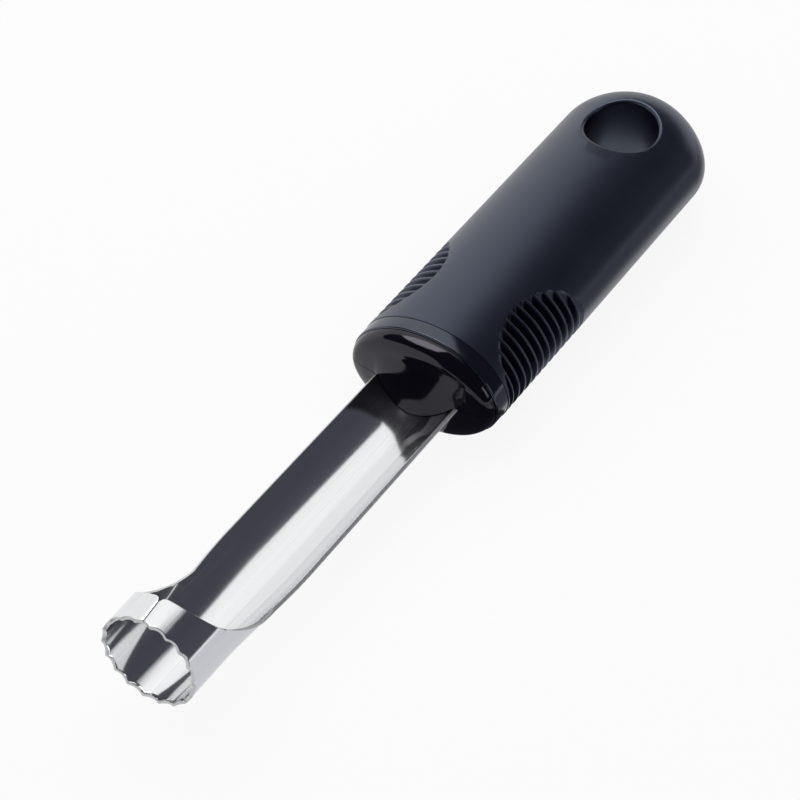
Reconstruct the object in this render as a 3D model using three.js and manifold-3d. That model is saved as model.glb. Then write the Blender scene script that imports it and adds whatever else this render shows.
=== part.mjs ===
// Apple corer: a toothed ring, an open channel and a tang rolled from one stainless sheet, a hard core in
// two parts that clamps the tang, and a soft oval grip with finned finger pads and a hanging hole.
// Millimetres, +X from the grip towards the cutting rim, +Z up. The origin lies under the middle of the
// tool's length, on the surface that the grip rests on.
import * as THREE from "three";
import { mergeVertices } from "three/addons/utils/BufferGeometryUtils.js";
import Module from "manifold-3d";

// Cutter ring and channel
const CUTTER_DIAMETER = 21.2;
const SHEET_THICKNESS = 0.8;
const RING_LENGTH = 7.3; // along the seam on top
const SEAM_WIDTH = 0.3;
const TOOTH_COUNT = 18;
const TOOTH_DEPTH = 0.55;
const TOOTH_LAND = 0.4; // flat left on each tooth's tip
const RIM_TO_GRIP = 98.5; // tooth tips to the grip's front face
const SWEEP_LENGTH = 24; // from the ring's rear edge to the straight channel edges
const SWEEP_POWER = 1.45; // shape of that sweep: 1 is a straight chamfer, 2 an ellipse
const FLARE_START = 12; // behind the rim, where the tube starts to open out
const FLARE_LENGTH = 28;
const CHANNEL_RADIUS = 13.8; // outside
const CHANNEL_DEPTH = 4.3; // from the collar's parting plane down to the channel's underside
const CHANNEL_EDGE_RISE = 0.5; // how far the edges climb from the collar to the sweep

// Hard core
const COLLAR_BAND = 2.9; // length of the collar's straight band
const COLLAR_INSET = 0.3; // how far the band lies below the grip's surface
const CROWN_INSET = 0.2; // step from the band to the crowned face
const CROWN_HEIGHT = 4.6;
const CROWN_POWER = 3; // 2 is an ellipse, more is flatter with a tighter edge
const NECK_DEPTH = 1.5; // how far in front of the grip the blade narrows to its tang
const NOSE_REACH = 2.1; // forward of the crown
const NOSE_WIDTH = 21.2; // before the channel's walls trim it
const NOSE_HEIGHT = 5; // above the parting plane
const NOSE_DEPTH = 8; // below it, before the channel's floor trims it
const STEM_WIDTH = 14.8;
const STEM_HEIGHT = 14;
const PEG_DIAMETER = 3.4;
const PEG_FLOOR = 0.9; // stem left under each peg's socket
const PEG_SETBACK = 12; // from the grip's front face, and from the tang's end
const TANG_END_WALL = 8; // stem left behind the tang
const TANG_SIDE_WALL = 1.6; // and beside it

// Soft grip
const GRIP_LENGTH = 87.6;
const GRIP_WIDTH_FRONT = 34.2;
const GRIP_WIDTH_REAR = 32.8;
const GRIP_HEIGHT = 23.4;
const GRIP_EDGE = 0.5; // rounding of the front edge
const END_LENGTH = 12.4; // rounded rear end
const END_PLAN_POWER = 2.1;
const END_SIDE_POWER = 2.8;
const HOLE_DIAMETER = 15.2;
const HOLE_TO_END = 16; // hole's centre to the rear end
const EYE_WALL = 6; // solid grip between the hole and the stem's bore
const PAD_SETBACK = 0.6; // front edge to the first slot
const PAD_LENGTH = 29;
const PAD_WALL = 1.5; // sleeve left between the deepest slot and the stem's bore
const FIN_PITCH = 2.3;
const FIN_THICKNESS = 0.9;

// Fits and fineness
const CLEARANCE = 0.3; // between neighbouring pieces
const OVAL_SIDES = 56;
const TUBE_SIDES = 60;
const CYLINDER_SIDES = 32;
const ARC_SEGMENTS = 24;
const CURVE_STEPS = 10;

// Values worked out from the sizes above. The working frame has its origin on the handle's axis, at the
// grip's front face, and z = 0 is the plane where the core's two parts meet.
const ringOuter = CUTTER_DIAMETER / 2;
const ringMiddle = ringOuter - SHEET_THICKNESS / 2;
const channelMiddle = CHANNEL_RADIUS - SHEET_THICKNESS / 2;
const underside = -CHANNEL_DEPTH;
const floorMiddle = underside + SHEET_THICKNESS / 2;
const ringAxis = underside + ringOuter;
const channelAxis = floorMiddle + channelMiddle;
const sweepStart = RIM_TO_GRIP - RING_LENGTH;
const sweepEnd = sweepStart - SWEEP_LENGTH;
const collarBack = CLEARANCE;
const collarFront = collarBack + COLLAR_BAND;
const crownTip = collarFront + CROWN_HEIGHT;
const noseTip = crownTip + NOSE_REACH;
const holeCentre = HOLE_TO_END - GRIP_LENGTH;
const boreEnd = holeCentre + HOLE_DIAMETER / 2 + EYE_WALL;
const stemEnd = boreEnd + CLEARANCE;
const tangEnd = stemEnd + TANG_END_WALL;
const tangHalf = STEM_WIDTH / 2 - TANG_SIDE_WALL - CLEARANCE;
const pegPlaces = [-PEG_SETBACK, tangEnd + PEG_SETBACK];
const pegEnd = PEG_FLOOR + CLEARANCE - STEM_HEIGHT / 2;
const padCentre = -(PAD_SETBACK + PAD_LENGTH / 2);
const reach = RIM_TO_GRIP + GRIP_LENGTH; // longer than any piece, for cutting tools

const wasm = await Module();
wasm.setup();

function toSolid(geometry) {
  const bare = new THREE.BufferGeometry();
  bare.setAttribute("position", geometry.getAttribute("position"));
  bare.setIndex(geometry.getIndex());
  const merged = mergeVertices(bare, 1e-4);
  const vertProperties = merged.getAttribute("position").array;
  const triVerts = new Uint32Array(merged.getIndex().array);
  return new wasm.Manifold(new wasm.Mesh({ numProp: 3, vertProperties, triVerts }));
}

function toMesh(name, solid, material) {
  const { vertProperties, triVerts } = solid.getMesh();
  const geometry = new THREE.BufferGeometry();
  geometry.setAttribute("position", new THREE.BufferAttribute(vertProperties, 3));
  geometry.setIndex(new THREE.BufferAttribute(triVerts, 1));
  geometry.computeVertexNormals();
  const mesh = new THREE.Mesh(geometry, material);
  mesh.name = name;
  return mesh;
}

// Moves every vertex of a geometry by a function of its place.
function reshape(geometry, move) {
  const position = geometry.getAttribute("position");
  const point = new THREE.Vector3();
  for (let i = 0; i < position.count; i += 1) {
    point.fromBufferAttribute(position, i);
    move(point);
    position.setXYZ(i, point.x, point.y, point.z);
  }
  return geometry;
}

// Profile of [radius, x] pairs turned about the X axis.
function turned(profile, sides, startAngle = 0) {
  const points = profile.map(([radius, x]) => new THREE.Vector2(radius, x));
  const geometry = new THREE.LatheGeometry(points, sides, startAngle);
  const toX = new THREE.Matrix4().makeBasis(
    new THREE.Vector3(0, 0, 1),
    new THREE.Vector3(1, 0, 0),
    new THREE.Vector3(0, 1, 0),
  );
  return geometry.applyMatrix4(toX);
}

// Body with oval sections, from [halfWidth, halfHeight, x] stations listed from the rear to the front.
// Its flats lie on the true height, so that one of them is the level underside.
function ovalBody(stations) {
  const halfStep = Math.PI / OVAL_SIDES;
  const heightRatio = new Map(stations.map(([width, height, x]) => [Math.fround(x), height / width]));
  const profile = stations.map(([width, , x]) => [width, x]);
  const rear = [0, stations[0][2]];
  const front = [0, stations[stations.length - 1][2]];
  const geometry = turned([rear, ...profile, front], OVAL_SIDES, halfStep);
  return toSolid(reshape(geometry, (point) => {
    point.z *= heightRatio.get(point.x) / Math.cos(halfStep);
  }));
}

function extruded(shape, depth) {
  return new THREE.ExtrudeGeometry(shape, { depth, bevelEnabled: false, curveSegments: ARC_SEGMENTS });
}

// Shape drawn in Y and Z, centred along X.
function extrudedAlongX(shape, length) {
  const toX = new THREE.Matrix4().makeBasis(
    new THREE.Vector3(0, 1, 0),
    new THREE.Vector3(0, 0, 1),
    new THREE.Vector3(1, 0, 0),
  );
  return toSolid(extruded(shape, length).applyMatrix4(toX).translate(-length / 2, 0, 0));
}

// Shape drawn in X and Z, centred along Y.
function extrudedAlongY(shape, width) {
  return toSolid(extruded(shape, width).rotateX(Math.PI / 2).translate(0, width / 2, 0));
}

// Shape drawn in X and Y, centred along Z.
function extrudedAlongZ(shape, height) {
  return toSolid(extruded(shape, height).translate(0, 0, -height / 2));
}

function uprightCylinder(radius, x, y, low, high) {
  const geometry = new THREE.CylinderGeometry(radius, radius, high - low, CYLINDER_SIDES);
  return toSolid(geometry.rotateX(Math.PI / 2).translate(x, y, (low + high) / 2));
}

// The sheet rolled into a tube that opens out behind the ring while its lowest line stays straight.
function flaredTube() {
  const opening = (x) => THREE.MathUtils.smoothstep(RIM_TO_GRIP - x, FLARE_START, FLARE_START + FLARE_LENGTH);
  const middleAt = (x) => THREE.MathUtils.lerp(ringMiddle, channelMiddle, opening(x));
  const places = [RIM_TO_GRIP];
  for (let step = 0; step <= CURVE_STEPS; step += 1) {
    places.push(RIM_TO_GRIP - FLARE_START - (FLARE_LENGTH * step) / CURVE_STEPS);
  }
  places.push(stemEnd);
  const outside = places.map((x) => [ringOuter, x]);
  const inside = places.map((x) => [ringOuter - SHEET_THICKNESS, x]);
  const profile = [...outside.reverse(), ...inside, outside[0]];
  return toSolid(reshape(turned(profile, TUBE_SIDES), (point) => {
    const side = Math.hypot(point.y, point.z) - ringMiddle;
    const angle = Math.atan2(point.z, point.y);
    const radius = middleAt(point.x) + side;
    point.y = radius * Math.cos(angle);
    point.z = floorMiddle + middleAt(point.x) + radius * Math.sin(angle);
  }));
}

// Side view of what is cut away above the channel's edges and behind the ring.
function edgeProfile() {
  const top = ringAxis + ringOuter;
  const above = 2 * (top + CHANNEL_RADIUS);
  const shape = new THREE.Shape();
  shape.moveTo(sweepStart, above);
  shape.lineTo(-reach, above);
  shape.lineTo(-reach, 0);
  shape.lineTo(crownTip, 0);
  for (let step = CURVE_STEPS; step >= 0; step -= 1) {
    const along = (step / CURVE_STEPS) ** 2;
    const up = 1 - (1 - (1 - along) ** SWEEP_POWER) ** (1 / SWEEP_POWER);
    shape.lineTo(
      THREE.MathUtils.lerp(sweepStart, sweepEnd, along),
      THREE.MathUtils.lerp(CHANNEL_EDGE_RISE, top, up),
    );
  }
  shape.closePath();
  return shape;
}

// Plan view of the sheet: full width in front of the neck, then the round-ended tang.
function bladePlan(margin) {
  const wide = 2 * CHANNEL_RADIUS;
  const half = tangHalf + margin;
  const neck = NECK_DEPTH - margin;
  const shape = new THREE.Shape();
  shape.moveTo(reach, -wide);
  shape.lineTo(reach, wide);
  shape.lineTo(neck, wide);
  shape.lineTo(neck, half);
  shape.absarc(tangEnd - margin + half, 0, half, Math.PI / 2, (3 * Math.PI) / 2);
  shape.lineTo(neck, -half);
  shape.lineTo(neck, -wide);
  shape.closePath();
  return shape;
}

function seamCutter() {
  const geometry = new THREE.BoxGeometry(3 * RING_LENGTH, SEAM_WIDTH, ringOuter);
  return toSolid(geometry.translate(RIM_TO_GRIP, 0, ringAxis + ringOuter));
}

// One round gullet between two teeth, cut through the ring's wall from its axis outwards. The first lies at
// the seam.
function gulletCutter(index) {
  const chord = (Math.PI * CUTTER_DIAMETER) / TOOTH_COUNT - TOOTH_LAND;
  const radius = ((chord / 2) ** 2 + TOOTH_DEPTH ** 2) / (2 * TOOTH_DEPTH);
  const geometry = new THREE.CylinderGeometry(radius, radius, CUTTER_DIAMETER, CYLINDER_SIDES);
  geometry.translate(RIM_TO_GRIP - TOOTH_DEPTH + radius, ringOuter, 0);
  geometry.rotateX((index / TOOTH_COUNT) * 2 * Math.PI + Math.PI / 2);
  return toSolid(geometry.translate(0, 0, ringAxis));
}

function makeBlade() {
  let blade = flaredTube().subtract(extrudedAlongY(edgeProfile(), reach));
  blade = blade.intersect(extrudedAlongZ(bladePlan(0), reach));
  blade = blade.subtract(seamCutter());
  for (let index = 0; index < TOOTH_COUNT; index += 1) {
    blade = blade.subtract(gulletCutter(index));
  }
  for (const place of pegPlaces) {
    blade = blade.subtract(uprightCylinder(PEG_DIAMETER / 2 + CLEARANCE, place, 0, 2 * underside, 0));
  }
  return blade;
}

// Region above or below a level with a round trough of the given radius on the channel's axis.
function troughRegion(radius, level, far) {
  const half = Math.sqrt(radius ** 2 - (channelAxis - level) ** 2);
  const start = Math.atan2(level - channelAxis, -half);
  const end = Math.atan2(level - channelAxis, half);
  const shape = new THREE.Shape();
  shape.moveTo(-GRIP_WIDTH_FRONT, far);
  shape.lineTo(-GRIP_WIDTH_FRONT, level);
  shape.absarc(0, channelAxis, radius, start, end, false);
  shape.lineTo(GRIP_WIDTH_FRONT, level);
  shape.lineTo(GRIP_WIDTH_FRONT, far);
  shape.closePath();
  return extrudedAlongX(shape, 2 * reach);
}

// The collar's band and crowned face, and the stem that fills the grip's bore.
function coreBody() {
  const halfWidth = GRIP_WIDTH_FRONT / 2 - COLLAR_INSET;
  const halfHeight = GRIP_HEIGHT / 2 - COLLAR_INSET;
  const stations = [
    [halfWidth, halfHeight, collarBack],
    [halfWidth, halfHeight, collarFront],
  ];
  for (let step = 0; step < CURVE_STEPS; step += 1) {
    const out = Math.cos((step / CURVE_STEPS) * (Math.PI / 2));
    const crownWidth = (halfWidth - CROWN_INSET) * out;
    const crownHeight = (crownWidth * halfHeight) / halfWidth;
    const forward = CROWN_HEIGHT * (1 - out ** CROWN_POWER) ** (1 / CROWN_POWER);
    stations.push([crownWidth, crownHeight, collarFront + forward]);
  }
  const stem = ovalBody([
    [STEM_WIDTH / 2, STEM_HEIGHT / 2, stemEnd],
    [STEM_WIDTH / 2, STEM_HEIGHT / 2, (collarBack + collarFront) / 2],
  ]);
  return ovalBody(stations).add(stem);
}

// Rounded plug that closes the channel in front of the collar. It is larger than the channel, whose walls
// trim it later.
function noseBody() {
  const halfLength = noseTip - (collarFront + crownTip) / 2;
  const halfHeight = (NOSE_HEIGHT + NOSE_DEPTH) / 2;
  const geometry = new THREE.SphereGeometry(1, OVAL_SIDES, ARC_SEGMENTS);
  geometry.scale(halfLength, NOSE_WIDTH / 2, halfHeight);
  return toSolid(geometry.translate(noseTip - halfLength, 0, NOSE_HEIGHT - halfHeight));
}

function makeCore() {
  const upperRadius = CHANNEL_RADIUS - SHEET_THICKNESS - CLEARANCE;
  const body = coreBody();
  const above = troughRegion(upperRadius, CLEARANCE, reach);
  let upper = body.add(noseBody()).intersect(above);
  const below = troughRegion(upperRadius + CLEARANCE, 0, -reach);
  const bladeSpace = troughRegion(CHANNEL_RADIUS + CLEARANCE, CLEARANCE, reach);
  const pocket = bladeSpace.intersect(extrudedAlongZ(bladePlan(CLEARANCE), reach));
  let lower = body.intersect(below).subtract(pocket);
  for (const place of pegPlaces) {
    upper = upper.add(uprightCylinder(PEG_DIAMETER / 2, place, 0, pegEnd, 0));
    const socketRadius = PEG_DIAMETER / 2 + CLEARANCE;
    lower = lower.subtract(uprightCylinder(socketRadius, place, 0, pegEnd - CLEARANCE, 0));
  }
  return { upper, lower };
}

function gripHalfWidth(x) {
  return THREE.MathUtils.mapLinear(x, 0, END_LENGTH - GRIP_LENGTH, GRIP_WIDTH_FRONT, GRIP_WIDTH_REAR) / 2;
}

function gripBody() {
  const halfHeight = GRIP_HEIGHT / 2;
  const stations = [];
  for (let step = 1; step <= CURVE_STEPS; step += 1) {
    const along = Math.cos(((step - 0.5) / CURVE_STEPS) * (Math.PI / 2));
    const x = END_LENGTH - GRIP_LENGTH - END_LENGTH * along;
    const plan = (1 - along ** END_PLAN_POWER) ** (1 / END_PLAN_POWER);
    const side = (1 - along ** END_SIDE_POWER) ** (1 / END_SIDE_POWER);
    stations.push([gripHalfWidth(x) * plan, halfHeight * side, x]);
  }
  const straightEnd = END_LENGTH - GRIP_LENGTH;
  stations.push([gripHalfWidth(straightEnd), halfHeight, straightEnd]);
  stations.push([gripHalfWidth(-GRIP_EDGE), halfHeight, -GRIP_EDGE]);
  stations.push([gripHalfWidth(0) - GRIP_EDGE, halfHeight - GRIP_EDGE, 0]);
  return ovalBody(stations);
}

// Slots of one finger pad: a round scoop cut into the grip's side, with the fins left standing in it.
function padSlots(side) {
  const surface = gripHalfWidth(padCentre);
  const floor = STEM_WIDTH / 2 + CLEARANCE + PAD_WALL;
  const depth = surface - floor;
  const radius = ((PAD_LENGTH / 2) ** 2 + depth ** 2) / (2 * depth);
  const scoop = uprightCylinder(radius, padCentre, side * (floor + radius), -GRIP_HEIGHT, GRIP_HEIGHT);
  const slotCount = Math.floor((PAD_LENGTH + FIN_THICKNESS) / FIN_PITCH);
  let slots = null;
  for (let index = 0; index < slotCount; index += 1) {
    const slab = new THREE.BoxGeometry(FIN_PITCH - FIN_THICKNESS, 2 * GRIP_WIDTH_FRONT, 2 * GRIP_HEIGHT);
    const place = padCentre + (index - (slotCount - 1) / 2) * FIN_PITCH;
    const slot = scoop.intersect(toSolid(slab.translate(place, 0, 0)));
    slots = slots ? slots.add(slot) : slot;
  }
  return slots;
}

function makeGrip() {
  const bore = ovalBody([
    [STEM_WIDTH / 2 + CLEARANCE, STEM_HEIGHT / 2 + CLEARANCE, boreEnd],
    [STEM_WIDTH / 2 + CLEARANCE, STEM_HEIGHT / 2 + CLEARANCE, GRIP_EDGE],
  ]);
  const hole = uprightCylinder(HOLE_DIAMETER / 2, holeCentre, 0, -GRIP_HEIGHT, GRIP_HEIGHT);
  return gripBody().subtract(bore).subtract(hole).subtract(padSlots(1)).subtract(padSlots(-1));
}

const steel = new THREE.MeshStandardMaterial({ color: 0xc8cacd, roughness: 0.2, metalness: 1 });
const hardPlastic = new THREE.MeshStandardMaterial({ color: 0x0d0d10, roughness: 0.12, metalness: 0 });
const softRubber = new THREE.MeshStandardMaterial({ color: 0x24262d, roughness: 0.75, metalness: 0 });

const core = makeCore();
const handle = new THREE.Group();
handle.add(toMesh("core_upper", core.upper, hardPlastic));
handle.add(toMesh("core_lower", core.lower, hardPlastic));
handle.add(toMesh("grip", makeGrip(), softRubber));

const tool = new THREE.Group();
tool.add(toMesh("blade", makeBlade(), steel), handle);
tool.position.set((GRIP_LENGTH - RIM_TO_GRIP) / 2, 0, GRIP_HEIGHT / 2);

const corer = new THREE.Group();
corer.add(tool);

export default corer;
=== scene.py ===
import math

import bpy
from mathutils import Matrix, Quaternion, Vector


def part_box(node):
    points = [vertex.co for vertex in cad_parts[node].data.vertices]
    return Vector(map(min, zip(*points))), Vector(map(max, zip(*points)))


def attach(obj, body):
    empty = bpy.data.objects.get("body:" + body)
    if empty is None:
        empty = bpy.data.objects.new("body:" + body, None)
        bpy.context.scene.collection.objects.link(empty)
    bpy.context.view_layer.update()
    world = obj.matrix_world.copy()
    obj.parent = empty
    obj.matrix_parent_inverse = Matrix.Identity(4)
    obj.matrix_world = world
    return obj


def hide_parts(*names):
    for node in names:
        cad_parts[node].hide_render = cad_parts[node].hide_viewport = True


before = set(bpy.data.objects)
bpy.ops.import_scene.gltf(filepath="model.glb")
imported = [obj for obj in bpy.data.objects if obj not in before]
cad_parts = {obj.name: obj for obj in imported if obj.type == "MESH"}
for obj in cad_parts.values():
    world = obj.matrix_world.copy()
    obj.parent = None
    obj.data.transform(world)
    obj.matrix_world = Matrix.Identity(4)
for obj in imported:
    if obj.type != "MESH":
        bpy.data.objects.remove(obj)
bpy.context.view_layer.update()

MM = 0.001

# Places read from the frame
blade_low, blade_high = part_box("blade")
grip_low, grip_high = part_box("grip")
nose_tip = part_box("core_upper")[1].x
stem_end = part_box("core_lower")[0].x
rim = blade_high.x
tang_end = blade_low.x
underside = blade_low.z
ring_radius = (blade_high.z - underside) / 2
front = grip_high.x
rear = grip_low.x
axis = (grip_low.z + grip_high.z) / 2
grip_half_height = (grip_high.z - grip_low.z) / 2

# Blade
SHEET = 0.8 * MM
RING_LENGTH = 7.3 * MM
SEAM = 0.3 * MM
SEAM_AT_RIM = -0.5 * MM
SEAM_AT_REAR = -1.1 * MM
FLAP_CORNER = 1.3 * MM
TOOTH_COUNT = 18
TOOTH_DEPTH = 0.55 * MM
TOOTH_LAND = 0.4 * MM
SWEEP_LENGTH = 21.3 * MM
SWEEP_POWER = 1.5
SIDE_LEAN = 0.65
SIDE_LEAN_FROM, SIDE_LEAN_OVER = math.radians(30), math.radians(60)
SEAM_LEAN_FROM, SEAM_LEAN_OVER = math.radians(120), math.radians(60)
LEAN_FADE = 8 * MM
FLARE_START = 12 * MM
FLARE_LENGTH = 28 * MM
CHANNEL_RADIUS = 13.8 * MM
EDGE_RISE = 0.5 * MM
SHEET_ROUNDING = 0.06 * MM
TANG_HALF = 5.5 * MM
TANG_TIP_SHARE = 0.15
TANG_STEP = 0.05 * MM
NECK_DEPTH = 1.5 * MM

# Collar
COLLAR_GAP = 0.3 * MM
COLLAR_BAND = 2.9 * MM
BAND_INSET = 0.12 * MM
BAND_ROUNDING = 0.35 * MM
GROOVE_DEPTH = 0.45 * MM
GROOVE_WIDTH = 0.2 * MM
CROWN_INSET = 0.3 * MM
CROWN_HEIGHT = 4.6 * MM
CROWN_TURNS = ((2.2 * MM, 4, 21), (1.3 * MM, 21, 62), (2 * MM, 62, 84))
CROWN_SETBACK = 0.7 * MM
LIP_FORWARD, LIP_BOW = 0.95 * MM, 0.4 * MM
CROWN_FORWARD, CROWN_BOW = 0.8 * MM, 1.1 * MM
WALL_STEP = 0.005 * MM
JOINT_GAP = 0.05 * MM
NOSE_WIDTH = 20 * MM
NOSE_TOP = 6.6 * MM
NOSE_POWER = 1.45
NOSE_FADE = 1.5
STEM_WIDTH = 14.8 * MM
STEM_HEIGHT = 14 * MM
PARTING_GAP = 0.12 * MM
BLADE_GAP = 0.15 * MM

# Grip
GRIP_TAPER = 0.959
FRONT_ROUNDING = 0.2 * MM
LIP_FADE = 3 * MM
END_LENGTH = 12.4 * MM
END_PLAN_POWER = 2.1
END_SIDE_POWER = 2.8
HOLE_RADIUS = 7.6 * MM
HOLE_ROUNDING = 0.9 * MM
HOLE_TO_END = 16 * MM
BORE_GAP = 0.3 * MM
PAD_SETBACK = 0.6 * MM
PAD_LENGTH = 29 * MM
PAD_FLOOR = 9.2 * MM
SLOT_COUNT = 13
FIN_PITCH = 2.3 * MM
FIN_THICKNESS = 0.62 * MM
FIN_ROUNDING = 0.24 * MM
SLOT_ROUNDING = 0.35 * MM

# Fineness
OVAL_SIDES = 160
RING_COLUMNS = 180
COLUMN_POWER = 1.5
CHANNEL_COLUMNS = 70
SWEEP_ROWS = 40
CHANNEL_ROWS = 70
TANG_ROWS = 16
BAND_STEPS = 4
TURN_STEPS = 16
FACE_STEPS = 40
END_STEPS = 24
SIDE_STEPS = 12
LIP_STEPS = 5
SEARCH_STEPS = 40
WELD_REACH = 0.005 * MM

# Studio, its places in millimetres
CEILING = 600
RIGHT_WALL = 1000
FRONT_WALL = 1300
FRONT_WALL_LEFT = -250
DARK = (0.058, 0.06, 0.078)
SOFT = (1.1, 1.1, 1.1)
STRONG = (4.0, 4.0, 4.0)
MEDIUM = (2.1, 2.1, 2.1)
# Painted shadow: grey of the floor in shade beside the grip, seen only in reflections
PAINTED_SHADE_GREY = (0.3, 0.3, 0.32)
# Painted shadow: pale grey of the floor in shade around the ring, seen only in reflections
PAINTED_SHADE_PALE = (0.7, 0.7, 0.74)
SKY_LIGHT = 0.45
LAMP_SIZE = 0.8
LAMP_LEVEL = 1.4
LAMP_PLACE = (-0.2, -0.25, 0.65)
FLOOR_SIZE = 6
FLOOR_DROP = 0.02 * MM
FLOOR_TONE = 0.9
FLOOR_GLOW = 0.9

# Camera
VIEW_TARGET = Vector((4.6, -1.6, 11.3)) * MM
VIEW_AZIMUTH = 34.1
VIEW_ELEVATION = 44.8
VIEW_DISTANCE = 966 * MM
VIEW_ROLL = 1.54
LENS = 219.9

# Worked out from the sizes above
ring_middle = ring_radius - SHEET / 2
channel_middle = CHANNEL_RADIUS - SHEET / 2
floor_middle = underside + SHEET / 2
channel_axis = floor_middle + channel_middle
flap_angle = math.pi - SEAM / 2 / ring_middle
sweep_start = rim - RING_LENGTH
sweep_end = sweep_start - SWEEP_LENGTH
collar_back = front + COLLAR_GAP
collar_front = collar_back + COLLAR_BAND
crown_tip = collar_front + CROWN_HEIGHT
grip_half_front = grip_high.y
hole_centre = rear + HOLE_TO_END
pad_centre = front - PAD_SETBACK - PAD_LENGTH / 2
slot_half = (FIN_PITCH - FIN_THICKNESS) / 2


def mix(a, b, share):
    return a + (b - a) * share


def smooth_step(value):
    value = min(max(value, 0), 1)
    return value * value * (3 - 2 * value)


class Wire:
    """An output socket that takes part in Python expressions."""

    def __init__(self, graph, socket):
        self.graph = graph
        self.socket = socket

    def maths(self, operation, first, second):
        return self.graph.add("Math", {"operation": operation}, {0: first, 1: second})

    def __add__(self, other):
        return self.maths("ADD", self, other)

    def __sub__(self, other):
        return self.maths("SUBTRACT", self, other)

    def __rsub__(self, other):
        return self.maths("SUBTRACT", other, self)

    def __mul__(self, other):
        return self.maths("MULTIPLY", self, other)

    __radd__ = __add__
    __rmul__ = __mul__

    def atleast(self, other):
        return self.maths("MAXIMUM", self, other)


class Graph:
    """The node tree of a material or of the world."""

    def __init__(self, owner):
        owner.use_nodes = True
        self.tree = owner.node_tree
        self.tree.nodes.clear()

    def add(self, kind, settings=None, sockets=None, output=0):
        node = self.tree.nodes.new("ShaderNode" + kind)
        for name, value in (settings or {}).items():
            if name == "stops":
                for stop, (position, level) in zip(node.color_ramp.elements, value):
                    stop.position = position
                    stop.color = (level, level, level, 1)
            else:
                setattr(node, name, value)
        for name, value in (sockets or {}).items():
            if isinstance(value, Wire):
                self.tree.links.new(value.socket, node.inputs[name])
            else:
                node.inputs[name].default_value = value
        return Wire(self, node.outputs[output]) if node.outputs else None

    def noise(self, place, stretch, detail=2.0, roughness=0.5):
        """Noise whose grains per metre along X, Y and Z are given."""
        stretched = self.add("Mapping", None, {"Vector": place, "Scale": stretch})
        settings = {"Vector": stretched, "Scale": 1.0, "Detail": detail, "Roughness": roughness}
        return self.add("TexNoise", None, settings)

    def blend(self, share, first, second):
        """A colour between two colours."""
        ends = {6: (*first, 1), 7: (*second, 1)}
        return self.add("Mix", {"data_type": "RGBA"}, {0: share, **ends}, 2)

    def ramp(self, value, low, high):
        return self.add("ValToRGB", {"stops": ((low, 0), (high, 1))}, {"Fac": value})

    def surface(self, shader):
        self.add("OutputMaterial", None, {"Surface": shader})


def polished_steel():
    material = bpy.data.materials.new("polished_steel")
    graph = Graph(material)
    place = graph.add("TexCoord", output="Object")
    fine = graph.noise(place, (15, 5200, 5200), 3)
    broad = graph.noise(place, (9, 700, 700), 2)
    scratch = graph.ramp(graph.noise(place, (22, 2600, 2600), 1), 0.60, 0.76)
    tone = graph.blend(broad, (0.745, 0.75, 0.76), (0.80, 0.805, 0.815))
    height = fine * 0.6 + broad * 0.4
    bump = graph.add("Bump", None, {"Strength": 0.06, "Distance": 0.00002, "Height": height})
    finish = {"Base Color": tone, "Metallic": 1.0, "Normal": bump}
    mirror = graph.add("BsdfPrincipled", None, {"Roughness": 0.05 + fine * 0.06 + broad * 0.04, **finish})
    haze = graph.add("BsdfPrincipled", None, {"Roughness": 0.38 + fine * 0.1, **finish})
    share = 0.02 + fine * 0.07 + scratch * 0.16
    graph.surface(graph.add("MixShader", None, {0: share, 1: mirror, 2: haze}))
    return material


def sheared_edge():
    material = bpy.data.materials.new("sheared_edge")
    graph = Graph(material)
    place = graph.add("TexCoord", output="Object")
    grain = graph.noise(place, (2600, 2600, 2600), 3, 0.6)
    tone = graph.blend(grain, (0.5, 0.505, 0.52), (0.74, 0.74, 0.75))
    bump = graph.add("Bump", None, {"Strength": 0.12, "Distance": 0.0001, "Height": grain})
    roughness = 0.4 + grain * 0.15
    sockets = {"Base Color": tone, "Metallic": 0.8, "Roughness": roughness, "Normal": bump}
    graph.surface(graph.add("BsdfPrincipled", None, sockets))
    return material


def glossy_plastic():
    material = bpy.data.materials.new("glossy_plastic")
    graph = Graph(material)
    place = graph.add("TexCoord", output="Object")
    haze = graph.noise(place, (260, 260, 260), 4, 0.6)
    speck = graph.ramp(graph.noise(place, (2400, 2400, 2400), 1), 0.72, 0.80)
    tone = graph.blend(haze, (0.0012, 0.0008, 0.003), (0.0022, 0.0016, 0.0045))
    roughness = 0.05 + haze * 0.05 + speck * 0.15
    bump = graph.add("Bump", None, {"Strength": 0.04, "Distance": 0.0001, "Height": haze})
    gloss = {"Specular IOR Level": 0.48, "Specular Tint": (0.90, 0.86, 1, 1)}
    sockets = {"Base Color": tone, "Roughness": roughness, "Normal": bump, **gloss}
    graph.surface(graph.add("BsdfPrincipled", None, sockets))
    return material


def satin_plastic():
    material = bpy.data.materials.new("satin_plastic")
    graph = Graph(material)
    place = graph.add("TexCoord", output="Object")
    haze = graph.noise(place, (300, 300, 300), 4, 0.6)
    tone = graph.blend(haze, (0.0012, 0.0008, 0.003), (0.0022, 0.0016, 0.0045))
    roughness = 0.11 + haze * 0.06
    bump = graph.add("Bump", None, {"Strength": 0.04, "Distance": 0.0001, "Height": haze})
    gloss = {"IOR": 1.6, "Specular IOR Level": 0.85, "Specular Tint": (0.72, 0.80, 1, 1)}
    sockets = {"Base Color": tone, "Roughness": roughness, "Normal": bump, **gloss}
    graph.surface(graph.add("BsdfPrincipled", None, sockets))
    return material


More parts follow.
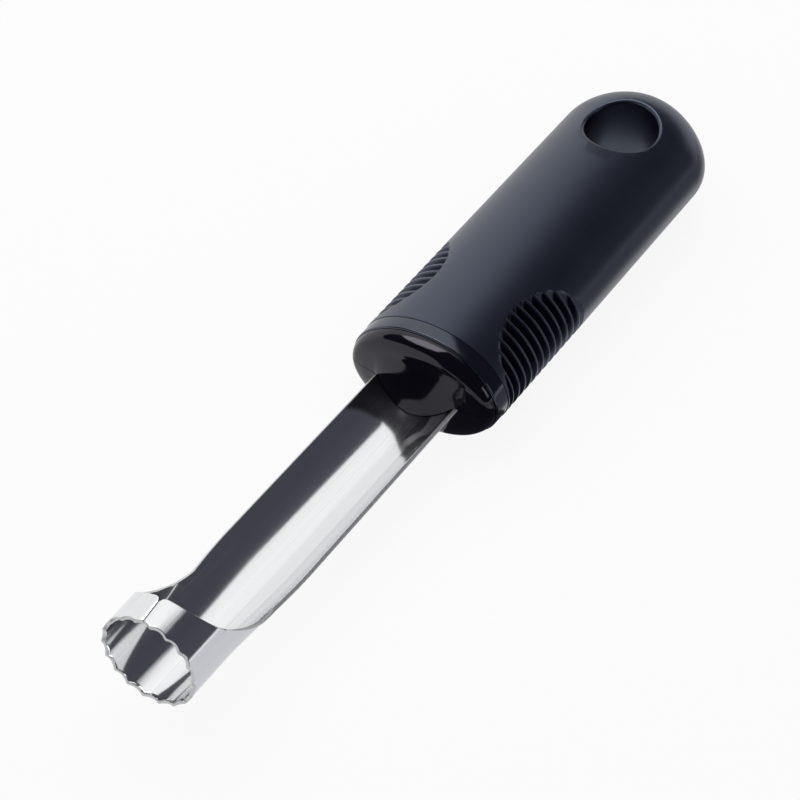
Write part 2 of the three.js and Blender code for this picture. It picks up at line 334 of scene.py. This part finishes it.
def soft_rubber():
    material = bpy.data.materials.new("soft_rubber")
    graph = Graph(material)
    place = graph.add("TexCoord", output="Object")
    grain = graph.noise(place, (3600, 3600, 3600), 2, 0.6)
    cloud = graph.noise(place, (140, 140, 140), 3, 0.6)
    tone = graph.blend(cloud, (0.0016, 0.0012, 0.007), (0.0030, 0.0025, 0.010))
    roughness = 0.28 + cloud * 0.05 + grain * 0.06
    bump = graph.add("Bump", None, {"Strength": 0.12, "Distance": 0.0001, "Height": grain})
    sheen = {"IOR": 1.6, "Specular IOR Level": 0.9, "Specular Tint": (0.64, 0.75, 1, 1)}
    sockets = {"Base Color": tone, "Roughness": roughness, "Normal": bump, **sheen}
    graph.surface(graph.add("BsdfPrincipled", None, sockets))
    return material


def fresh(kind, name, **settings):
    """A new primitive, alone in the selection, with its place in its mesh."""
    bpy.ops.object.select_all(action="DESELECT")
    getattr(bpy.ops.mesh, f"primitive_{kind}_add")(**settings)
    piece = bpy.context.object
    piece.name = name
    piece.data.name = name
    bpy.ops.object.transform_apply(location=True, rotation=True, scale=True)
    return piece


def pick(*pieces):
    """Selects these pieces alone, the first of them active."""
    bpy.ops.object.select_all(action="DESELECT")
    for piece in pieces:
        piece.select_set(True)
    bpy.context.view_layer.objects.active = pieces[0]


def edit(piece):
    """Opens a piece in edit mode with everything on it selected."""
    pick(piece)
    bpy.ops.object.mode_set(mode="EDIT")
    bpy.ops.mesh.select_all(action="SELECT")


def leave_edit():
    bpy.ops.object.mode_set(mode="OBJECT")


def modify(piece, kind, **settings):
    """Adds a modifier and applies it."""
    modifier = piece.modifiers.new(kind.lower(), kind)
    for name, value in settings.items():
        setattr(modifier, name, value)
    pick(piece)
    bpy.ops.object.modifier_apply(modifier=modifier.name)


def carve(piece, tool, operation="DIFFERENCE"):
    """Cuts or joins a piece with a tool, which is used up."""
    modify(piece, "BOOLEAN", object=tool, operation=operation, solver="EXACT")
    bpy.data.objects.remove(tool)


def weld(piece):
    """Merges doubled points and turns all faces outwards."""
    edit(piece)
    bpy.ops.mesh.remove_doubles(threshold=WELD_REACH)
    bpy.ops.mesh.normals_make_consistent(inside=False)
    leave_edit()


def oval_body(name, stations):
    """Closed body whose oval sections, (x, half width, half height), are extruded one from the last."""
    x, width, height = stations[0]
    place = (x, 0, axis)
    piece = fresh(
        "circle",
        name,
        vertices=OVAL_SIDES,
        radius=1,
        fill_type="NGON",
        location=place,
        rotation=(0, math.pi / 2, 0),
    )
    edit(piece)
    bpy.ops.transform.resize(value=(1, width, height), center_override=place)
    for next_x, next_width, next_height in stations[1:]:
        bpy.ops.mesh.extrude_region_move(TRANSFORM_OT_translate={"value": (next_x - x, 0, 0)})
        grow = (1, next_width / width, next_height / height)
        bpy.ops.transform.resize(value=grow, center_override=(next_x, 0, axis))
        x, width, height = next_x, next_width, next_height
    leave_edit()
    weld(piece)
    return piece


def finish(piece, node, slot, materials, angle):
    """Gives a piece its finish and sets it in the place of its node."""
    for material in materials:
        piece.data.materials.append(material)
    pick(piece)
    bpy.ops.object.shade_smooth_by_angle(angle=math.radians(angle))
    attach(piece, "root")
    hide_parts(node)


def sheet_radius(x):
    """Radius of the sheet's middle, which opens out behind the ring."""
    return mix(ring_middle, channel_middle, smooth_step((rim - x - FLARE_START) / FLARE_LENGTH))


def edge_height(x):
    """Height of the sheet's upper edges above the floor's middle line."""
    level = axis - floor_middle
    if x <= crown_tip:
        return level
    if x <= sweep_end:
        return level + EDGE_RISE * (x - crown_tip) / (sweep_end - crown_tip)
    along = min((sweep_start - x) / SWEEP_LENGTH, 1)
    up = 1 - (1 - (1 - along) ** SWEEP_POWER) ** (1 / SWEEP_POWER)
    return mix(level + EDGE_RISE, 2 * ring_middle, up)


def edge_angle(x):
    """Angle from the sheet's lowest line up to its edge."""
    radius = sheet_radius(x)
    return math.acos(max((radius - edge_height(x)) / radius, -1))


def sheet_point(x, angle):
    radius = sheet_radius(x)
    return Vector((x, radius * math.sin(angle), floor_middle + radius * (1 - math.cos(angle))))


def tooth_gullet(angle):
    """How far the rim is cut back at an angle. A gullet's middle lies at the seam."""
    pitch = 2 * math.pi / TOOTH_COUNT
    across = (abs(math.pi - abs(angle) + pitch / 2) % pitch - pitch / 2) * ring_middle
    half_chord = (pitch * ring_middle - TOOTH_LAND) / 2
    if abs(across) >= half_chord:
        return 0
    radius = (half_chord ** 2 + TOOTH_DEPTH ** 2) / (2 * TOOTH_DEPTH)
    return math.sqrt(radius ** 2 - across ** 2) - radius + TOOTH_DEPTH


def sweep_place(angle):
    """Where the line at an angle along the sheet ends on the sweep behind the ring."""
    low, high = sweep_end, sweep_start
    for _ in range(SEARCH_STEPS):
        middle = (low + high) / 2
        inside = sheet_radius(middle) * (1 - math.cos(angle)) > edge_height(middle)
        low, high = (middle, high) if inside else (low, middle)
    from_seam = (flap_angle - abs(angle)) * ring_middle
    short = max(FLAP_CORNER - from_seam, 0)
    return low + FLAP_CORNER - math.sqrt(FLAP_CORNER ** 2 - short ** 2)


def seam_lean(x, angle):
    """How far the ring is turned at a place: its seam lies off the top and runs a little aslant."""
    offset = mix(SEAM_AT_RIM, SEAM_AT_REAR, min((rim - x) / RING_LENGTH, 1))
    sides = smooth_step((abs(angle) - SIDE_LEAN_FROM) / SIDE_LEAN_OVER)
    near_seam = smooth_step((abs(angle) - SEAM_LEAN_FROM) / SEAM_LEAN_OVER)
    fade = smooth_step((x - sweep_end) / LEAN_FADE)
    return -mix(SIDE_LEAN * sides, 1, near_seam) * fade * offset / ring_middle


def ring_point(across, along):
    """A point of the sheet's front: the toothed ring, its flaps and the sweep down to the channel's edges."""
    step = abs(across) * (CHANNEL_COLUMNS + RING_COLUMNS) / 2
    beyond = max(step - CHANNEL_COLUMNS / 2, 0) / (RING_COLUMNS / 2)
    within = min(step / (CHANNEL_COLUMNS / 2), 1)
    turn = mix(edge_angle(sweep_end) * within, flap_angle, beyond ** COLUMN_POWER)
    angle = math.copysign(turn, across)
    end = sweep_place(angle) if beyond else sweep_end
    x = mix(rim - tooth_gullet(angle), end, along)
    return sheet_point(x, angle + seam_lean(x, angle))


def channel_point(across, along):
    """A point of the sheet's rear: the open channel, its shoulders inside the collar, and the tang."""
    row = round(along * CHANNEL_ROWS)
    channel_rows = CHANNEL_ROWS - TANG_ROWS
    neck = front + NECK_DEPTH
    if row <= channel_rows:
        x = mix(sweep_end, neck, row / channel_rows)
        return sheet_point(x, edge_angle(x) * across)
    share = (row - channel_rows - 1) / (TANG_ROWS - 1)
    x = mix(neck - TANG_STEP, tang_end, 1 - (1 - share) ** 2)
    from_end = min((x - tang_end) / TANG_HALF, 1)
    half = TANG_HALF * max(math.sqrt(1 - (1 - from_end) ** 2), TANG_TIP_SHARE)
    return sheet_point(x, math.asin(half / channel_middle) * across)


def sheet_part(name, columns, rows, place):
    """A grid laid on the sheet's middle."""
    piece = fresh("grid", name, x_subdivisions=columns, y_subdivisions=rows, size=2)
    for vertex in piece.data.vertices:
        vertex.co = place(vertex.co.x, (vertex.co.y + 1) / 2)
    return piece


def make_blade():
    blade = sheet_part("blade_sheet", CHANNEL_COLUMNS + RING_COLUMNS, SWEEP_ROWS, ring_point)
    pick(blade, sheet_part("channel_sheet", CHANNEL_COLUMNS, CHANNEL_ROWS, channel_point))
    bpy.ops.object.join()
    weld(blade)
    for material in (polished_steel(), sheared_edge()):
        blade.data.materials.append(material)
    evenly = {"use_even_offset": True, "use_quality_normals": True}
    modify(blade, "SOLIDIFY", thickness=SHEET, offset=0, material_offset_rim=1, **evenly)
    modify(
        blade,
        "BEVEL",
        width=SHEET_ROUNDING,
        segments=2,
        limit_method="ANGLE",
        angle_limit=math.radians(50),
        harden_normals=True,
    )
    finish(blade, "blade", "steel", (), 40)


def lip_bow(y):
    """How far the joint between the grip and the collar bows back from its plane."""
    return LIP_BOW * (y / grip_half_front) ** 2 - LIP_FORWARD


def crown_bow(y):
    """How far the line between the collar's band and its crowned face bows back from its plane."""
    return CROWN_BOW * (y / grip_half_front) ** 2 - CROWN_FORWARD


def nose_bulge(y, z):
    """How far the crowned face swells forward where it closes the channel."""
    across = max(1 - (2 * y / NOSE_WIDTH) ** 2, 0)
    channel_floor = underside + SHEET
    down = min(max((axis + NOSE_TOP - z) / (axis + NOSE_TOP - channel_floor), 0), 1)
    return (nose_tip - crown_tip + CROWN_SETBACK) * across * down ** NOSE_POWER


def crown_body(name, swell):
    """The collar's band, the groove at its front and the crowned face, bowed as the joint is."""
    half_width = grip_half_front - BAND_INSET
    half_height = grip_half_height - BAND_INSET
    profile = [(collar_back, JOINT_GAP), (collar_back + JOINT_GAP, 0)]
    for step in range(BAND_STEPS + 1):
        turn = step / BAND_STEPS * math.pi / 2
        forward = BAND_ROUNDING * (math.sin(turn) - 1)
        profile.append((collar_front + forward, BAND_ROUNDING * (1 - math.cos(turn))))
    profile.append((collar_front + WALL_STEP, GROOVE_DEPTH))
    profile.append((collar_front + GROOVE_WIDTH, GROOVE_DEPTH))
    stations = [(x, half_width - inset, half_height - inset) for x, inset in profile]
    x = collar_front + GROOVE_WIDTH + WALL_STEP
    out = half_height - CROWN_INSET
    width_share = (half_width - CROWN_INSET) / out
    stations.append((x, out * width_share, out))
    for length, first, last in CROWN_TURNS:
        for step in range(TURN_STEPS):
            turn = math.radians(mix(first, last, (step + 0.5) / TURN_STEPS))
            x += math.cos(turn) * length / TURN_STEPS
            out -= math.sin(turn) * length / TURN_STEPS
            stations.append((x, out * width_share, out))
    for step in range(1, FACE_STEPS):
        share = 1 - step / FACE_STEPS
        forward = (crown_tip - x) * (1 - share ** 2)
        stations.append((x + forward, out * share * width_share, out * share))
    body = oval_body(name, stations)
    for vertex in body.data.vertices:
        x, y, z = vertex.co
        if x <= collar_front:
            along = (x - collar_back) / COLLAR_BAND
            vertex.co.x += mix(lip_bow(y) + JOINT_GAP - COLLAR_GAP, crown_bow(y), along)
        else:
            along = (x - collar_front) / CROWN_HEIGHT
            vertex.co.x += mix(crown_bow(y), -CROWN_SETBACK, smooth_step(along))
            if swell:
                vertex.co.x += nose_bulge(y, z) * smooth_step(along * NOSE_FADE)
    return body


def make_core(keep_upper):
    """One part of the core: crown and stem on one side of the parting plane.

    The upper part has the swollen face and fills the channel. The lower part holds the blade."""
    core = crown_body("collar_upper" if keep_upper else "collar_lower", keep_upper)
    stem = oval_body("stem", [
        (stem_end, STEM_WIDTH / 2, STEM_HEIGHT / 2),
        ((collar_back + collar_front) / 2, STEM_WIDTH / 2, STEM_HEIGHT / 2),
    ])
    carve(core, stem, "UNION")
    length = rim - rear
    inside = channel_middle - SHEET / 2 - BLADE_GAP
    outside = CHANNEL_RADIUS + BLADE_GAP
    trough = fresh(
        "cylinder",
        "trough",
        vertices=256,
        radius=inside if keep_upper else outside,
        depth=2 * length,
        location=(0, 0, channel_axis),
        rotation=(0, math.pi / 2, 0),
    )
    shift = length + PARTING_GAP / 2
    middle = axis + shift if keep_upper else axis - shift
    half_space = fresh("cube", "half_space", size=2 * length, location=(0, 0, middle))
    if keep_upper:
        carve(half_space, trough, "UNION")
        carve(core, half_space, "INTERSECT")
    else:
        carve(core, half_space, "INTERSECT")
        carve(core, trough)
    weld(core)
    node = "core_upper" if keep_upper else "core_lower"
    finish(core, node, "core", (glossy_plastic(), satin_plastic()), 35)
    for face in core.data.polygons:
        if face.center.x < collar_front + crown_bow(face.center.y):
            face.material_index = 1


def grip_half_width(x):
    share = (front - x) / (front - rear - END_LENGTH)
    return grip_half_front * mix(1, GRIP_TAPER, share)


def grip_size(x):
    """Half width and half height of the grip's outside at a place along it."""
    along = min(max((rear + END_LENGTH - x) / END_LENGTH, 0), 1)
    plan = (1 - along ** END_PLAN_POWER) ** (1 / END_PLAN_POWER)
    side = (1 - along ** END_SIDE_POWER) ** (1 / END_SIDE_POWER)
    into = max(x - front + FRONT_ROUNDING, 0)
    lip = FRONT_ROUNDING - math.sqrt(max(FRONT_ROUNDING ** 2 - into ** 2, 0))
    return grip_half_width(x) * plan - lip, grip_half_height * side - lip


def slot_places():
    return [pad_centre + (index - (SLOT_COUNT - 1) / 2) * FIN_PITCH for index in range(SLOT_COUNT)]


def pad_floor(x):
    """Distance from the middle plane to the round floor of a finger pad's slots."""
    depth = grip_half_width(pad_centre) - PAD_FLOOR
    radius = ((PAD_LENGTH / 2) ** 2 + depth ** 2) / (2 * depth)
    return PAD_FLOOR + radius - math.sqrt(max(radius ** 2 - (x - pad_centre) ** 2, 0))


def pressed(x, y):
    """Moves a point of the grip's side in to a slot's floor, and rounds the fins beside the slot."""
    from_slot = min(abs(x - place) for place in slot_places()) - slot_half
    floor = pad_floor(x)
    out = abs(y)
    if out <= floor or from_slot >= FIN_ROUNDING:
        return y
    if from_slot > -0.001 * MM:
        short = FIN_ROUNDING - max(from_slot, 0)
        drop = FIN_ROUNDING - math.sqrt(FIN_ROUNDING ** 2 - short ** 2)
        limit = max(out - drop, floor)
    else:
        short = max(SLOT_ROUNDING + from_slot, 0)
        limit = floor + SLOT_ROUNDING - math.sqrt(SLOT_ROUNDING ** 2 - short ** 2)
    return math.copysign(min(out, limit), y)


def grip_places():
    """Stations along the grip: close together at its ends and at the slots' edges."""
    places = []
    for step in range(END_STEPS):
        places.append(rear + END_LENGTH * (1 - math.cos((step + 0.25) / END_STEPS * math.pi / 2)))
    places.append(rear + END_LENGTH)
    wall = [FIN_ROUNDING, 0.6 * FIN_ROUNDING, 0.25 * FIN_ROUNDING, 0]
    foot = [-0.02 * MM, -0.3 * SLOT_ROUNDING, -0.65 * SLOT_ROUNDING, -SLOT_ROUNDING]
    edge = [slot_half + offset for offset in wall + foot]
    for place in slot_places():
        places += [place - offset for offset in edge]
        places.append(place)
        places += [place + offset for offset in reversed(edge)]
    for step in range(1, SIDE_STEPS):
        places.append(mix(rear + END_LENGTH, pad_centre - PAD_LENGTH / 2, step / SIDE_STEPS))
    for step in range(LIP_STEPS + 1):
        places.append(front - FRONT_ROUNDING * (1 - math.sin(step / LIP_STEPS * math.pi / 2)))
    return sorted(places)


def grip_top(x, y):
    """Height of the grip's outside above its middle plane."""
    width, height = grip_size(x)
    return height * math.sqrt(max(1 - (y / width) ** 2, 0))


def hole_plug():
    """Upright plug through the grip, opened out at both ends, which leaves the hole's rims rounded."""
    rings = [(HOLE_RADIUS + HOLE_ROUNDING, -2 * MM), (HOLE_RADIUS + HOLE_ROUNDING, -0.04 * MM)]
    for tilt in (78, 60, 45, 30, 15, 0):
        turn = math.radians(tilt)
        opened = HOLE_ROUNDING * (1 - math.cos(turn))
        rings.append((HOLE_RADIUS + opened, HOLE_ROUNDING * (1 - math.sin(turn))))
    profile = [(radius, depth - grip_half_height) for radius, depth in rings]
    profile += [(radius, grip_half_height - depth) for radius, depth in reversed(rings)]
    radius, level = profile[0]
    place = (hole_centre, 0, axis + level)
    plug = fresh("circle", "hole_plug", vertices=128, radius=radius, fill_type="NGON", location=place)
    edit(plug)
    for next_radius, next_level in profile[1:]:
        bpy.ops.mesh.extrude_region_move(TRANSFORM_OT_translate={"value": (0, 0, next_level - level)})
        grow = next_radius / radius
        bpy.ops.transform.resize(value=(grow, grow, 1), center_override=(hole_centre, 0, axis + next_level))
        radius, level = next_radius, next_level
    leave_edit()
    weld(plug)
    for vertex in plug.data.vertices:
        lower = grip_half_height - grip_top(vertex.co.x, vertex.co.y)
        vertex.co.z -= math.copysign(lower, vertex.co.z - axis)
    return plug


def make_grip():
    grip = oval_body("grip_sleeve", [(x, *grip_size(x)) for x in grip_places()])
    for vertex in grip.data.vertices:
        vertex.co.y = pressed(vertex.co.x, vertex.co.y)
        near_front = smooth_step((vertex.co.x - front + LIP_FADE) / LIP_FADE)
        vertex.co.x += near_front * lip_bow(vertex.co.y)
    carve(grip, hole_plug())
    bore_size = (STEM_WIDTH / 2 + BORE_GAP, STEM_HEIGHT / 2 + BORE_GAP)
    carve(grip, oval_body("bore", [(stem_end - BORE_GAP, *bore_size), (front + BORE_GAP, *bore_size)]))
    weld(grip)
    finish(grip, "grip", "grip", (soft_rubber(),), 40)


def seen_rays(graph):
    """1 for rays that show a surface as it is, 0 for rays that only carry light."""
    camera = graph.add("LightPath", output="Is Camera Ray")
    glossy = graph.add("LightPath", output="Is Glossy Ray")
    clear = graph.add("LightPath", output="Is Transmission Ray")
    return camera.atleast(glossy).atleast(clear)


def make_floor():
    floor = fresh("plane", "floor", size=FLOOR_SIZE, location=(0, 0, -FLOOR_DROP))
    material = bpy.data.materials.new("pale_floor")
    graph = Graph(material)
    matte = graph.add("BsdfDiffuse", None, {"Color": (FLOOR_TONE, FLOOR_TONE, FLOOR_TONE, 1)})
    glow = graph.add("Emission", None, {"Color": (1, 1, 1, 1), "Strength": 1.0})
    graph.surface(graph.add("MixShader", None, {0: seen_rays(graph) * FLOOR_GLOW, 1: matte, 2: glow}))
    floor.data.materials.append(material)


def panel(name, outline, colour):
    """A flat panel of the studio, given by its corners in millimetres, that only reflections see."""
    mesh = bpy.data.meshes.new(name)
    mesh.from_pydata([Vector(corner) * MM for corner in outline], [], [range(len(outline))])
    material = bpy.data.materials.new(name)
    graph = Graph(material)
    graph.surface(graph.add("Emission", None, {"Color": (*colour, 1), "Strength": 1.0}))
    mesh.materials.append(material)
    sheet = bpy.data.objects.new(name, mesh)
    bpy.context.scene.collection.objects.link(sheet)
    sheet.visible_camera = False
    sheet.visible_diffuse = False
    sheet.visible_shadow = False


def level_panel(name, outline, height, colour):
    panel(name, [(x, y, height) for x, y in outline], colour)


def wall(name, start, end, low, high, colour):
    """An upright panel between two places, from a low edge to a high one."""
    panel(name, [(*start, low), (*end, low), (*end, high), (*start, high)], colour)


def make_studio():
    """Soft light from above on the left, a dark ceiling and dark walls in front and on the right, and painted
    floor shadows near the object that only reflections see.
    """
    world = bpy.data.worlds.new("studio")
    bpy.context.scene.world = world
    graph = Graph(world)
    strength = SKY_LIGHT + seen_rays(graph) * (1 - SKY_LIGHT)
    sky = graph.add("Background", None, {"Color": (1, 1, 1, 1), "Strength": strength})
    graph.add("OutputWorld", None, {"Surface": sky})
    lamp = bpy.data.lights.new("soft_lamp", "AREA")
    lamp.size = LAMP_SIZE
    lamp.energy = LAMP_LEVEL * math.pi * lamp.size ** 2
    lamp_object = bpy.data.objects.new("soft_lamp", lamp)
    lamp_object.location = LAMP_PLACE
    lamp_object.rotation_euler = (lamp_object.location - VIEW_TARGET).to_track_quat("Z", "Y").to_euler()
    lamp_object.visible_glossy = False
    bpy.context.scene.collection.objects.link(lamp_object)
    rear_edge = [(-411, -69), (-340, 20), (-295, 110), (-287, 215), (-250, -6), (-230, -14)]
    front_edge = [(-60, -85), (-30, -174), (-30, -304), (-100, -461), (-211, -576), (-230, -576)]
    left_edge = [
        (-260, -900),
        (-200, -1170),
        (403, -1108),
        (640, -760),
        (720, -560),
        (800, -400),
        (900, FRONT_WALL_LEFT),
        (FRONT_WALL, FRONT_WALL_LEFT),
    ]
    corners = [(2100, RIGHT_WALL), (-1500, RIGHT_WALL), (-1500, -970), (-1131, -970)]
    level_panel("dark_ceiling", [*rear_edge, *front_edge, *left_edge, *corners], CEILING, DARK)
    softbox = [(-800, -556), *rear_edge, front_edge[-1], (-800, -750)]
    level_panel("softbox", softbox, CEILING, SOFT)
    level_panel("front_softbox", [rear_edge[-1], *front_edge], CEILING, STRONG)
    wall("right_wall", (-1500, RIGHT_WALL), (FRONT_WALL, RIGHT_WALL), 0, CEILING, DARK)
    wall("front_wall", (FRONT_WALL, RIGHT_WALL), (FRONT_WALL, FRONT_WALL_LEFT), 0, CEILING, DARK)
    wall("right_softbox", (-260, 950), (-60, 950), 150, 590, MEDIUM)
    # Painted shadow: a dark sheet on the floor in front of the collar, standing in for the floor in the
    # object's shade as the collar's reflections see it.
    level_panel("painted_floor_shadow", [(-12, 5), (42, 5), (42, 70), (-12, 45)], 0.4, DARK)
    # Painted shadow: a grey sheet on the floor to the right of the grip, darkening the grip's right side in
    # its reflections as shaded floor.
    level_panel("painted_side_shadow", [(-200, 25), (-12, 25), (-12, 140), (-200, 140)], 0.3, PAINTED_SHADE_GREY)
    # Painted shadow: a pale grey sheet on the floor around the ring, greying the floor seen in the ring's
    # reflections as if in shade.
    painted_ring_shadow = [(95, 8), (60, 8), (40, 40), (-70, 190), (-20, 260), (60, 120), (110, 40)]
    level_panel("painted_ring_shadow", painted_ring_shadow, 0.2, PAINTED_SHADE_PALE)


def make_camera():
    camera = bpy.data.objects.new("camera", bpy.data.cameras.new("camera"))
    camera.data.sensor_width = 36
    camera.data.lens = LENS
    camera.data.clip_start = 0.05
    azimuth = math.radians(VIEW_AZIMUTH)
    elevation = math.radians(VIEW_ELEVATION)
    level = math.cos(elevation)
    back = Vector((level * math.cos(azimuth), level * math.sin(azimuth), math.sin(elevation)))
    camera.location = VIEW_TARGET + back * VIEW_DISTANCE
    camera.rotation_mode = "QUATERNION"
    roll = Quaternion((0, 0, 1), -math.radians(VIEW_ROLL))
    camera.rotation_quaternion = back.to_track_quat("Z", "Y") @ roll
    bpy.context.scene.collection.objects.link(camera)
    bpy.context.scene.camera = camera


make_camera()
make_blade()
make_core(True)
make_core(False)
make_grip()
make_floor()
make_studio()
bpy.context.scene.view_settings.view_transform = "Standard"
